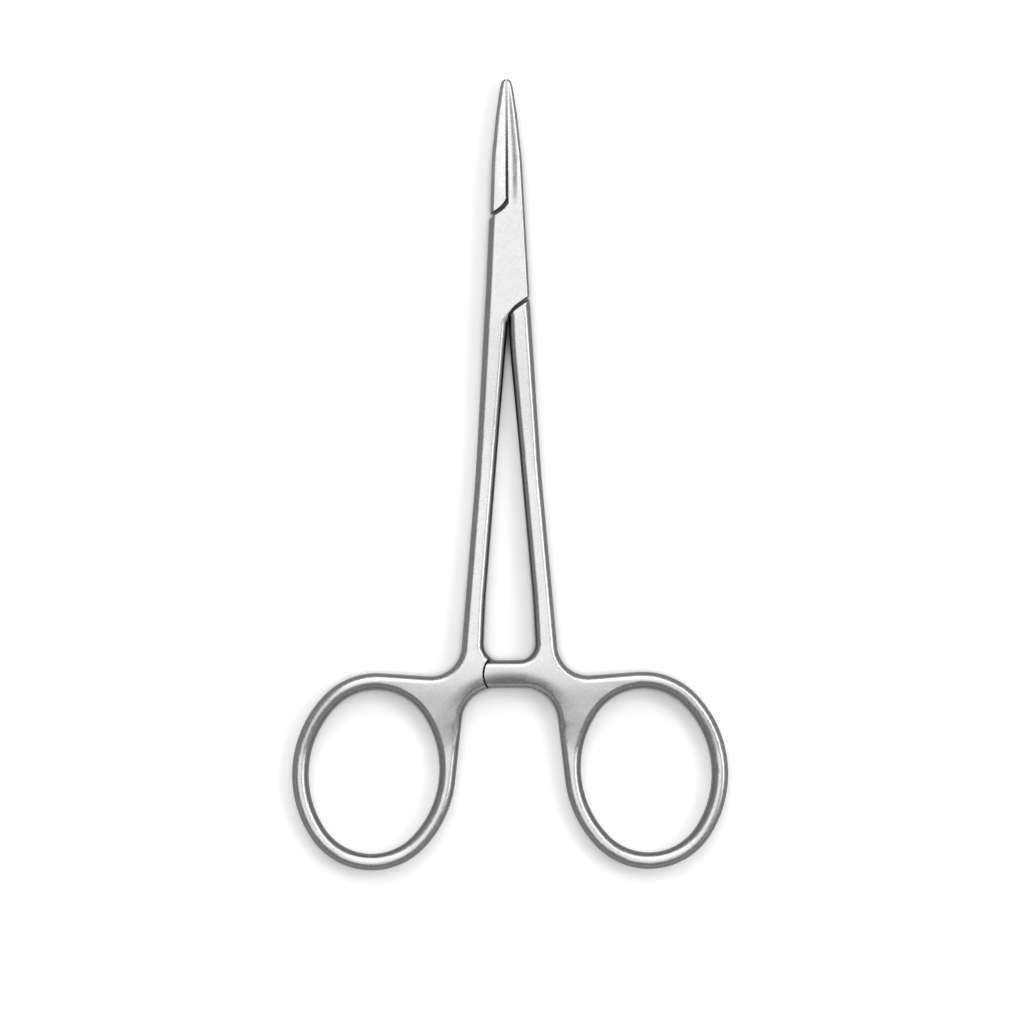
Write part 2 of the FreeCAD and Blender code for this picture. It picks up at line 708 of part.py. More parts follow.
    def dress(self, kind, name, names, size):
        """Rounds or bevels the named edges."""
        base = self.body.Tip
        item = self.body.newObject("PartDesign::" + kind, name)
        item.Base = (base, names)
        item.setExpression("Radius" if kind == "Fillet" else "Size", size.formula)
        self.doc.recompute()
        if "Invalid" in item.State or not item.Shape.isValid():
            raise RuntimeError(name + " fails")

    def round_edges(self, low, high):
        """Rounds the silhouette and the finger hole and bevels the gripping face.

        The lock lies between the heights low and high, where the seams stay sharp, and so does
        the edge of the arm's end.
        """
        s = self.s
        ring = Vector(self.side * s.ring_place.number, self.ring_middle.number, 0)
        hole_reach = s.ring_half_length.number + s.ring_band.number / 2.0
        lock_side = s.root_half_width.number
        grip = s.root_gap.number
        arm_end = self.cap_edge + SPOT_MARGIN

        def in_lock(u, spot):
            return abs(u) < lock_side and low < spot.y < high

        names = [name for name, spot, normal in self.rims()
                 if (ring - Vector(spot.x, spot.y, 0)).Length < hole_reach
                 and normal.dot(ring - spot) > 0]
        self.dress("Fillet", "HoleRound", names, s.hole_round)
        names = []
        for name, spot, normal in self.rims():
            u = spot.x * self.side
            if spot.y > 0 and abs(u) < grip:
                continue
            if (spot.y < low and u > arm_end) or (u > 0 and not in_lock(u, spot)):
                names.append(name)
        self.dress("Fillet", "OuterRound", names, s.outer_round)
        names = []
        for name, spot, normal in self.rims():
            u = spot.x * self.side
            beside = abs(normal.x) > LEVEL_LIMIT or spot.y > high
            if u < -grip and spot.y > low and beside and not in_lock(u, spot):
                names.append(name)
        self.dress("Fillet", "JawRound", names, s.jaw_round)
        names = [name for name, spot, normal in self.rims()
                 if spot.y > high and abs(spot.x) < grip and abs(normal.x) > FACING_LIMIT]
        self.dress("Chamfer", "GripBevel", names, s.grip_bevel)

    def dish_arch(self):
        """Lets the top and bottom fall towards the arch under the ratchet."""
        s = self.s
        profile = self.drawing("ArchProfile", "YZ_Plane")
        profile.upright(-s.arch_place)
        for sign in (1, -1):
            profile.arch_profile(s, sign)
        self.doc.recompute()
        before = self.body.Shape.Volume
        item = self.feature("Groove", "ArchFall", profile)
        item.ReferenceAxis = (profile.sketch, ["Axis0"])
        item.Angle = 360.0
        self.doc.recompute()
        if item.Shape.Volume >= before - 1e-6:
            raise RuntimeError("ArchFall cuts nothing")

    def lap_arms(self):
        """Takes away the other arm's half of the thickness, with room round its rounded end."""
        s = self.s
        lap = self.drawing("ArmLap")
        other_cap = (-self.cap_centre[0], self.arm_middle)
        lap.capped(self, other_cap, s.arm_end_round + s.arm_gap, -(s.arm_reach + s.overcut))
        self.half_plane(lap, s.lap_gap / as_dim(2))
        self.doc.recompute()
        self.cut("ArmLapCut", lap, s.box_thickness, upward=self.side < 0)
        teeth = self.drawing("RatchetTeeth", "XZ_Plane")
        start = s.tooth_land - s.arm_reach
        rest = s.lap_gap / as_dim(2)
        corners = [(start + s.tooth_pitch * s.tooth_count, -rest), (start, -rest)]
        for number in range(int(s.tooth_count.number)):
            left = start + s.tooth_pitch * as_dim(number)
            corners.append((left, rest + s.tooth_depth))
            corners.append((left + s.tooth_pitch, rest))
        teeth.rounded([(u * as_dim(self.side), z * as_dim(self.side), None) for u, z in corners])
        self.doc.recompute()
        teeth.sketch.setExpression("AttachmentOffset.Base.z", s.arm_top.formula)
        self.doc.recompute()
        self.cut("RatchetCut", teeth, s.arm_width, upward=True)

    def half_plane(self, drawing, height):
        """Lifts (through half) or lowers (box half) a drawing by a height from the middle."""
        scale = as_dim(self.side)
        drawing.sketch.setExpression("AttachmentOffset.Base.z", (height * scale).formula)

    def bore(self, size):
        hole = self.drawing("PinBoreOutline")
        hole.circle((as_dim(0), as_dim(0)), size / as_dim(2))
        self.doc.recompute()
        self.cut("PinBore", hole, self.s.box_thickness * as_dim(2), midplane=True)

    def serrate(self, offset):
        """Cross grooves of the gripping face; offset shifts them along the jaw."""
        s = self.s
        groove = self.drawing("GrooveOutline")
        slope = (s.root_gap - s.tip_gap) / as_dim(2) / (s.jaw_length - s.wall_mid)
        place = s.serration_start + offset
        face = -(s.root_gap / as_dim(2) - slope * (place - s.wall_mid))
        half = s.serration_pitch / as_dim(2) * s.serration_fill
        over = face + s.tip_gap / as_dim(2)
        groove.rounded([
            self.own(over, place - half - half * s.tip_gap / as_dim(2) / s.serration_depth),
            self.own(face - s.serration_depth, place),
            self.own(over, place + half + half * s.tip_gap / as_dim(2) / s.serration_depth),
        ])
        guide = groove.sketch.addGeometry(Part.LineSegment(
            Vector(self.side * -s.root_gap.number / 2.0, s.wall_mid.number, 0),
            Vector(self.side * -s.tip_gap.number / 2.0, s.jaw_length.number, 0)), True)
        groove.place_point(guide, 1, self.own(-s.root_gap / as_dim(2), s.wall_mid)[:2])
        groove.place_point(guide, 2, self.own(-s.tip_gap / as_dim(2), s.jaw_length)[:2])
        self.doc.recompute()
        first = self.cut("Groove", groove, s.box_thickness * as_dim(2), midplane=True)
        span = s.serration_end.number - s.serration_start.number
        count = int(span / s.serration_pitch.number)
        row = self.body.newObject("PartDesign::LinearPattern", "Serrations")
        row.Originals = [first]
        row.Direction = (groove.sketch, ["Axis0"])
        row.setExpression("Length", (s.serration_pitch * as_dim(count - 1)).formula)
        row.Occurrences = count
        self.body.Tip = row
        self.doc.recompute()


def across(start, end, place):
    """Point of the line start-end at a given place along X."""
    share = (place - start[0]) / (end[0] - start[0])
    return (place, start[1] + (end[1] - start[1]) * share)


def make_box_half(doc, s):
    """Right jaw, cheeks of the box lock, left shank and ring, lower ratchet arm."""
    half = Half(doc, s, "box_half", -1)
    half.shape_handle()
    low_side = on_line(*half.side_line, -s.cheek_low_side)
    high_side = on_line(*half.side_line, s.cheek_top_side)
    forged_side = on_line(*half.side_line, -(s.cheek_low_side + s.cheek_surplus))
    low = [
        half.own(-forged_side[0], forged_side[1]),
        half.own(-s.cheek_low_bend_side, -(s.cheek_low_bend_place + s.cheek_surplus), s.seam_round),
        half.own(0, -(s.cheek_low_mid + s.cheek_surplus), s.seam_corner_round),
    ]
    high = [
        half.own(*high_side),
        half.own(s.cheek_top_bend_side, s.cheek_top_bend_place, s.seam_round),
        half.own(-s.root_gap / as_dim(2), s.cheek_top_mid),
    ]
    half.shape_blade(low, high)
    half.round_edges(-s.cheek_low_mid.number - SPOT_MARGIN, s.cheek_top_mid.number + SPOT_MARGIN)
    # the cheeks' lower edges are cut sharp, past the rounded edge of the forging
    far = s.waist_half_width + s.overcut
    bend = (-s.cheek_low_bend_side, -s.cheek_low_bend_place)
    edge_far = across(bend, (-low_side[0], low_side[1]), -far)
    below = -(s.cheek_low_mid + s.cheek_surplus * as_dim(2))
    trim = half.drawing("CheekTrimOutline")
    trim.rounded([
        half.own(*edge_far), half.own(*bend, s.seam_round), half.own(0, -s.cheek_low_mid),
        half.own(0, below), half.own(-far, below),
    ])
    doc.recompute()
    half.cut("CheekTrim", trim, s.box_thickness * as_dim(2), midplane=True)
    # the slot between the cheeks, open at both sides, ends at two slanted walls
    inner = (s.root_gap / as_dim(2), s.wall_mid + s.wall_play)
    outer = (-on_line(*half.side_line, s.wall_side)[0], s.wall_side + s.wall_play)
    end_far = across(inner, outer, -far)
    end_near = across(inner, outer, s.root_gap * as_dim(2))
    slot = half.drawing("SlotOutline")
    slot.rounded([
        half.own(*end_far), half.own(*end_near), half.own(far, end_near[1]),
        half.own(far, -end_far[1]), half.own(-end_near[0], -end_near[1]), half.own(-far, -end_near[1]),
    ])
    doc.recompute()
    half.cut("Slot", slot, s.tenon_thickness + s.slot_play * as_dim(2), midplane=True)
    half.bore(s.pin_diameter)
    half.dish_arch()
    half.lap_arms()
    half.serrate(as_dim(0))
    return half.body


def make_through_half(doc, s):
    """Left jaw, tenon, right shank and ring, upper ratchet arm."""
    half = Half(doc, s, "through_half", 1)
    half.shape_handle()
    side = on_line(*half.side_line, s.wall_side)
    mid = s.root_gap / as_dim(2)
    low = [half.own(-side[0], -s.wall_side), half.own(mid, -s.wall_mid, s.seam_corner_round)]
    high = [half.own(side[0], s.wall_side), half.own(-mid, s.wall_mid, s.seam_corner_round)]
    half.shape_blade(low, high)
    half.round_edges(-s.wall_mid.number - SPOT_MARGIN, s.wall_mid.number + SPOT_MARGIN)
    # the tenon is thinned between the two shoulders that face the cheeks' edges
    far = s.waist_half_width + s.overcut
    near = s.root_gap * as_dim(2)
    top_side = on_line(*half.side_line, s.cheek_top_side)
    low_side = on_line(*half.side_line, -s.cheek_low_side)
    top_bend = (-s.cheek_top_bend_side, s.cheek_top_bend_place + s.seam_gap)
    low_bend = (s.cheek_low_bend_side, -(s.cheek_low_bend_place + s.seam_gap))
    top_far = across(top_bend, (-top_side[0], s.cheek_top_side + s.seam_gap), -far)
    top_near = across(top_bend, (-mid, s.cheek_top_mid + s.seam_gap), near)
    low_far = across(low_bend, (low_side[0], -(s.cheek_low_side + s.seam_gap)), far)
    low_near = across(low_bend, (as_dim(0), -(s.cheek_low_mid + s.seam_gap)), -near)
    for name, upward in (("UpperThinning", True), ("LowerThinning", False)):
        outline = half.drawing(name + "Outline")
        outline.rounded([
            half.own(*top_far), half.own(*top_bend, s.seam_round), half.own(*top_near),
            half.own(far, top_near[1]),
            half.own(*low_far), half.own(*low_bend, s.seam_round), half.own(*low_near),
            half.own(-far, low_near[1]),
        ])
        level = s.tenon_thickness / as_dim(2 if upward else -2)
        outline.sketch.setExpression("AttachmentOffset.Base.z", level.formula)
        doc.recompute()
        half.cut(name, outline, s.box_thickness, upward=upward)
    half.bore(s.pin_diameter + s.pin_play * as_dim(2))
    half.dish_arch()
    half.lap_arms()
    half.serrate(s.serration_pitch / as_dim(2))
    return half.body


def make_lock_pin(doc, s):
    """Rivet pin, ground flush with both cheeks."""
    pin = doc.addObject("Part::Cylinder", "lock_pin")
    pin.Label = "lock_pin"
    pin.setExpression("Radius", (s.pin_diameter / as_dim(2)).formula)
    pin.setExpression("Height", s.box_thickness.formula)
    return pin


def main():
    doc = FreeCAD.newDocument("HemostatForceps")
    s = Sheet(doc)
    pieces = [make_box_half(doc, s), make_through_half(doc, s), make_lock_pin(doc, s)]
    along = (s.handle_length - s.jaw_length) / as_dim(2)
    for piece in pieces:
        lift = as_dim(0) if piece.Label == "lock_pin" else s.box_thickness / as_dim(2)
        piece.setExpression("Placement.Base.y", along.formula)
        piece.setExpression("Placement.Base.z", lift.formula)
    doc.recompute()
    for item in doc.Objects:
        if "Invalid" in item.State or "Error" in item.State:
            raise RuntimeError("%s is in a bad state" % item.Name)
    os.makedirs("parts", exist_ok=True)
    for piece in pieces:
        shape = piece.Shape
        if shape.isNull() or not shape.isValid() or len(shape.Solids) != 1:
            raise RuntimeError("%s has no single valid solid" % piece.Label)
        shape.exportStep("parts/%s.step" % piece.Label)
        box = shape.optimalBoundingBox()
        print(piece.Label, round(shape.Volume, 2), box)


main()
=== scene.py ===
"""Looks of a small straight haemostat: satin forged halves, flush hinge pin, studio."""

import logging
import math
from dataclasses import dataclass, field
from enum import Enum

import bpy
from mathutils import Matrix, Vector


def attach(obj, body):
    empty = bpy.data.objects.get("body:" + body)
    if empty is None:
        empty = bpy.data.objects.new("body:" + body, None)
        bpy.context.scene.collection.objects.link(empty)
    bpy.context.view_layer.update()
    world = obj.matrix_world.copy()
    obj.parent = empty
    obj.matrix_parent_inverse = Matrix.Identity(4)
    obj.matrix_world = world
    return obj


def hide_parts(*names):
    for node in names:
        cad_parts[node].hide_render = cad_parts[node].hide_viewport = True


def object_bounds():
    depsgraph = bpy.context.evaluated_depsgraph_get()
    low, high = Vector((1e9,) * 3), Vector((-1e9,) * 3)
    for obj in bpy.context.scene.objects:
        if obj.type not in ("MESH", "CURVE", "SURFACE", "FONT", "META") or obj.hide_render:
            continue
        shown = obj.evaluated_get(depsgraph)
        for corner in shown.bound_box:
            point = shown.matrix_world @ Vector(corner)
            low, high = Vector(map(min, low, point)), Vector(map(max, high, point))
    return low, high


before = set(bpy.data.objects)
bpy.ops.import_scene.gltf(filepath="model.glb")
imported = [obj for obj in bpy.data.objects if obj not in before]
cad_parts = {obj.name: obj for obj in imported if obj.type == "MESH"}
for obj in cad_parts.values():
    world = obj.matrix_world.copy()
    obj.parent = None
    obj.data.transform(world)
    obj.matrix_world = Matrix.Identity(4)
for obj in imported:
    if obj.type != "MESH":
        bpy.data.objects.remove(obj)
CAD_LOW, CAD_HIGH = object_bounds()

log = logging.getLogger("haemostat")

MM = 0.001
PHOTO_ROLL = math.radians(-0.315)
PIN_PLACE = (0.0, 34.4 * MM)
# most of a noise pattern lies between these two values
NOISE_SPREAD = (0.3, 0.7)

Colour = tuple[float, float, float]


class Body(Enum):
    """The two bodies that turn against each other at the hinge pin."""

    BOX_HALF = "box_half"
    THROUGH_HALF = "through_half"


class Slot(Enum):
    """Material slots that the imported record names."""

    SATIN_STEEL = "satin_steel"
    PIN_STEEL = "pin_steel"


class Tree:
    """A short way to add nodes and links to one node tree."""

    def __init__(self, tree: bpy.types.NodeTree) -> None:
        """Wraps the tree.

        Args:
            tree: the node tree to build in.
        """
        self.tree = tree

    def node(self, kind: str, **settings: object) -> bpy.types.Node:
        """Adds a node.

        Args:
            kind: the node's type name.
            settings: properties of the node and their values.

        Returns:
            The new node.
        """
        made = self.tree.nodes.new(kind)
        for name, value in settings.items():
            setattr(made, name, value)
        return made

    def feed(self, socket: bpy.types.NodeSocket, value: object) -> None:
        """Links an output to a socket, or sets the socket's own value.

        Args:
            socket: the input socket.
            value: an output socket, a number or a colour.
        """
        if isinstance(value, bpy.types.NodeSocket):
            self.tree.links.new(value, socket)
        else:
            socket.default_value = value

    def maths(self, operation: str, *values: object, clamp: bool = False) -> bpy.types.NodeSocket:
        """Adds a Math node.

        Args:
            operation: the Math node's operation.
            values: outputs or numbers for its inputs, in order.
            clamp: whether the result stays between 0 and 1.

        Returns:
            The result socket.
        """
        made = self.node("ShaderNodeMath", operation=operation, use_clamp=clamp)
        for socket, value in zip(made.inputs, values):
            self.feed(socket, value)
        return made.outputs[0]

    def spread(
        self,
        value: object,
        low: object,
        high: object,
        to_low: object,
        to_high: object,
        ends: str = "SMOOTHSTEP",
    ) -> bpy.types.NodeSocket:
        """Maps a range to another, with soft ends where nothing else is asked for.

        Args:
            value: the output to map.
            low: where the source range starts.
            high: where the source range ends.
            to_low: result at low.
            to_high: result at high.
            ends: the Map Range node's interpolation.

        Returns:
            The mapped value's socket.
        """
        made = self.node("ShaderNodeMapRange", interpolation_type=ends)
        for socket, part in zip(made.inputs, (value, low, high, to_low, to_high)):
            self.feed(socket, part)
        return made.outputs["Result"]

    def blend(self, first: object, second: object, share: object) -> bpy.types.NodeSocket:
        """Mixes two values.

        Args:
            first: output or number at share 0.
            second: output or number at share 1.
            share: output or number from 0 to 1.

        Returns:
            The mixed value's socket.
        """
        made = self.node("ShaderNodeMix", data_type="FLOAT")
        self.feed(made.inputs["Factor"], share)
        self.feed(made.inputs[2], first)
        self.feed(made.inputs[3], second)
        return made.outputs[0]

    def noise(
        self, coordinates: object, scale: object, detail: float, roughness: float
    ) -> bpy.types.NodeSocket:
        """Adds a noise pattern.

        Args:
            coordinates: output that places the pattern.
            scale: cells to a metre.
            detail: octaves.
            roughness: weight of the finer octaves.

        Returns:
            The value socket, about 0.5 on average.
        """
        made = self.node("ShaderNodeTexNoise")
        self.feed(made.inputs["Vector"], coordinates)
        self.feed(made.inputs["Scale"], scale)
        self.feed(made.inputs["Detail"], detail)
        self.feed(made.inputs["Roughness"], roughness)
        return made.outputs[0]


def add_group(
    name: str, inputs: dict[str, float], outputs: dict[str, str]
) -> tuple[Tree, bpy.types.Node, bpy.types.Node]:
    """Starts a shader node group with named sockets.

    Args:
        name: the group's name.
        inputs: float inputs and their defaults.
        outputs: outputs and their socket types.

    Returns:
        The group's tree, its input node and its output node.
    """
    group = bpy.data.node_groups.new(name, "ShaderNodeTree")
    for label, value in inputs.items():
        socket = group.interface.new_socket(label, in_out="INPUT", socket_type="NodeSocketFloat")
        socket.default_value = value
    for label, kind in outputs.items():
        group.interface.new_socket(label, in_out="OUTPUT", socket_type=kind)
    tree = Tree(group)
    return tree, tree.node("NodeGroupInput"), tree.node("NodeGroupOutput")


@dataclass(frozen=True)
class BlastedGrain:
    """Fine matt grain that glass bead blasting leaves on steel, as a shared node group."""

    name: str = "blasted_grain"

    def group(self) -> bpy.types.NodeTree:
        """Builds the group, or finds it.

        Returns:
            A group that puts out Shade and Height, both about 0.5 on average.
        """
        made = bpy.data.node_groups.get(self.name)
        if made:
            return made
        inputs = {
            "Grain cells": 4200.0,
            "Pit size": 0.42,
            "Pit share": 0.25,
            "Cloud cells": 260.0,
            "Cloud share": 0.12,
        }
        outputs = {"Shade": "NodeSocketFloat", "Height": "NodeSocketFloat"}
        tree, source, target = add_group(self.name, inputs, outputs)
        place = tree.node("ShaderNodeTexCoord").outputs["Object"]
        given = source.outputs
        pit_cells = tree.maths("MULTIPLY", given["Grain cells"], given["Pit size"])
        grain = tree.noise(place, given["Grain cells"], detail=2.0, roughness=0.6)
        pits = tree.noise(place, pit_cells, detail=1.0, roughness=0.5)
        clouds = tree.noise(place, given["Cloud cells"], detail=3.0, roughness=0.55)
        fine = tree.blend(grain, pits, given["Pit share"])
        tree.feed(target.inputs["Shade"], tree.blend(fine, clouds, given["Cloud share"]))
        tree.feed(target.inputs["Height"], fine)
        return tree.tree


@dataclass(frozen=True)
class RubbedEdgeAndHighlight:
    """Edges worn by hands and cloths, with their small true rounding, as a shared node group. Its mask also
    paints a highlight along the edges.
    """

    name: str = "rubbed_edge_and_highlight"
    samples: int = 6

    def group(self) -> bpy.types.NodeTree:
        """Builds the group, or finds it.

        Returns:
            A group that puts out an edge Mask, for smoother steel and a painted highlight, and the rounded
            Normal.
        """
        made = bpy.data.node_groups.get(self.name)
        if made:
            return made
        inputs = {"Radius": 0.12 * MM, "Reach": 0.03, "Pin clear": 1.6 * MM}
        outputs = {"Mask": "NodeSocketFloat", "Normal": "NodeSocketVector"}
        tree, source, target = add_group(self.name, inputs, outputs)
        bevel = tree.node("ShaderNodeBevel", samples=self.samples)
        spot = tree.node("ShaderNodeVectorMath", operation="MULTIPLY_ADD")
        tree.feed(spot.inputs[0], tree.node("ShaderNodeTexCoord").outputs["Object"])
        tree.feed(spot.inputs[1], (1.0, 1.0, 0.0))
        tree.feed(spot.inputs[2], (-PIN_PLACE[0], -PIN_PLACE[1], 0.0))
        away = tree.node("ShaderNodeVectorMath", operation="LENGTH")
        tree.feed(away.inputs[0], spot.outputs[0])
        clear = tree.maths("GREATER_THAN", away.outputs["Value"], source.outputs["Pin clear"])
        tree.feed(bevel.inputs["Radius"], tree.maths("MULTIPLY", source.outputs["Radius"], clear))
        flat = tree.node("ShaderNodeNewGeometry").outputs["Normal"]
        match = tree.node("ShaderNodeVectorMath", operation="DOT_PRODUCT")
        tree.feed(match.inputs[0], bevel.outputs["Normal"])
        tree.feed(match.inputs[1], flat)
        turned = tree.maths("SUBTRACT", 1.0, match.outputs["Value"])
        mask = tree.maths("DIVIDE", turned, source.outputs["Reach"], clamp=True)
        tree.feed(target.inputs["Mask"], mask)
        tree.feed(target.inputs["Normal"], bevel.outputs["Normal"])
        return tree.tree


@dataclass(frozen=True)
class PaintedCreviceShade:
    """Painted shade in narrow gaps and seams, where polish and light don't reach, as a shared node group."""

    name: str = "painted_crevice_shade"
    samples: int = 8

    def group(self) -> bpy.types.NodeTree:
        """Builds the group, or finds it.

        Returns:
            A group that puts out Mask, the painted shade's share: 1 deep in a gap and 0 on open faces.
        """
        made = bpy.data.node_groups.get(self.name)
        if made:
            return made
        inputs = {"Reach": 4.0 * MM, "Open from": 0.55, "Deep from": 0.22}
        tree, source, target = add_group(self.name, inputs, {"Mask": "NodeSocketFloat"})
        # painted shade: ambient occlusion darkens the colour where nearby surfaces hide the light
        near = tree.node("ShaderNodeAmbientOcclusion", samples=self.samples)
        tree.feed(near.inputs["Distance"], source.outputs["Reach"])
        given = source.outputs
        mask = tree.spread(near.outputs["AO"], given["Deep from"], given["Open from"], 1.0, 0.0)
        tree.feed(target.inputs["Mask"], mask)
        return tree.tree


@dataclass(frozen=True)
class PaintedFlankShade:
    """Painted shade on steep flanks: how far a surface turns away from the flat faces towards the forging's
    steep flanks.
    """

    name: str = "painted_flank_shade"

    def group(self) -> bpy.types.NodeTree:
        """Builds the group, or finds it.

        Returns:
            A group that puts out Flank, the painted shade's share: 0 on the flat faces and 1 on a steep
            flank.
        """
        made = bpy.data.node_groups.get(self.name)
        if made:
            return made
        inputs = {"Flat from": 0.965, "Steep from": 0.70}
        tree, source, target = add_group(self.name, inputs, {"Flank": "NodeSocketFloat"})
        parts = tree.node("ShaderNodeSeparateXYZ")
        tree.feed(parts.inputs[0], tree.node("ShaderNodeTexCoord").outputs["Normal"])
        upright = tree.maths("ABSOLUTE", parts.outputs["Z"])
        flank = tree.spread(upright, source.outputs["Flat from"], source.outputs["Steep from"], 0.0, 1.0)
        tree.feed(target.inputs["Flank"], flank)
        return tree.tree


@dataclass(frozen=True)
class GroundCrown:
    """Slight crowns that grinding leaves: on the jaws' faces, and round the arch under the ratchet.

    The root and the nose are places along the jaws, each with the half width there. The right jaw
    has a shallow hollow along its face, between shares of that half width, and the left jaw falls
    away towards its outer edge.
    """

    name: str = "ground_crown"
    root: tuple[float, float] = (49.9 * MM, 2.35 * MM)
    nose: tuple[float, float] = (61.3 * MM, 0.98 * MM)
    hollow_in: tuple[float, float] = (0.2, 0.5)
    hollow_out: tuple[float, float] = (0.6, 0.85)
    left_fall: tuple[float, float] = (-0.1, -0.9)
    arch_place: float = -44.6 * MM

    def group(self) -> bpy.types.NodeTree:
        """Builds the group, or finds it.

        Returns:
            A group that puts out Tilt, a vector to add to the surface's normal.
        """
        made = bpy.data.node_groups.get(self.name)
        if made:
            return made
        inputs = {
            "Hollow tilt": 0.26,
            "Left tilt": 0.12,
            "Jaw fades from": 38.5 * MM,
            "Jaw full from": 47.5 * MM,
            "Arch tilt": 0.17,
            "Arch fades from": 14.3 * MM,
            "Arch full from": 12.2 * MM,
            "Arch full to": 4.5 * MM,
            "Arch fades to": 10.0 * MM,
            "Arch share beside": 0.2,
        }
        tree, source, target = add_group(self.name, inputs, {"Tilt": "NodeSocketVector"})
        given = source.outputs
        place = tree.node("ShaderNodeSeparateXYZ")
        tree.feed(place.inputs[0], tree.node("ShaderNodeTexCoord").outputs["Object"])
        across, along = place.outputs["X"], place.outputs["Y"]
        places, half_widths = zip(self.root, self.nose)
        width = tree.spread(along, *places, *half_widths, ends="LINEAR")
        share = tree.maths("DIVIDE", across, width)
        into = tree.spread(share, *self.hollow_in, 0.0, given["Hollow tilt"])
        out_of = tree.spread(share, *self.hollow_out, 1.0, 0.0)
        hollow = tree.maths("MULTIPLY", into, out_of)
        left = tree.spread(share, *self.left_fall, 0.0, given["Left tilt"])
        on_jaw = tree.spread(along, given["Jaw fades from"], given["Jaw full from"], 0.0, 1.0)
        jaw = tree.maths("MULTIPLY", tree.maths("ADD", hollow, left), on_jaw)
        below = tree.maths("SUBTRACT", self.arch_place, along)
        squares = [tree.maths("POWER", side, 2.0) for side in (across, below)]
        ray = tree.maths("POWER", tree.maths("ADD", *squares), 0.5)
        arch = tree.spread(ray, given["Arch fades from"], given["Arch full from"], 0.0, given["Arch tilt"])
        beside = tree.maths("ABSOLUTE", across)
        centred = tree.spread(
            beside, given["Arch full to"], given["Arch fades to"], 1.0, given["Arch share beside"]
        )
        fall = tree.maths("MULTIPLY", tree.maths("DIVIDE", arch, ray), centred)
        aim = tree.node("ShaderNodeCombineXYZ")
        inward = tree.maths("ADD", jaw, tree.maths("MULTIPLY", across, fall))
        tree.feed(aim.inputs["X"], tree.maths("MULTIPLY", inward, -1.0))
        tree.feed(aim.inputs["Y"], tree.maths("MULTIPLY", below, fall))
        turn = tree.node(
            "ShaderNodeVectorTransform", vector_type="VECTOR", convert_from="OBJECT", convert_to="WORLD"
        )
        tree.feed(turn.inputs[0], aim.outputs[0])
        tree.feed(target.inputs["Tilt"], turn.outputs[0])
        return tree.tree


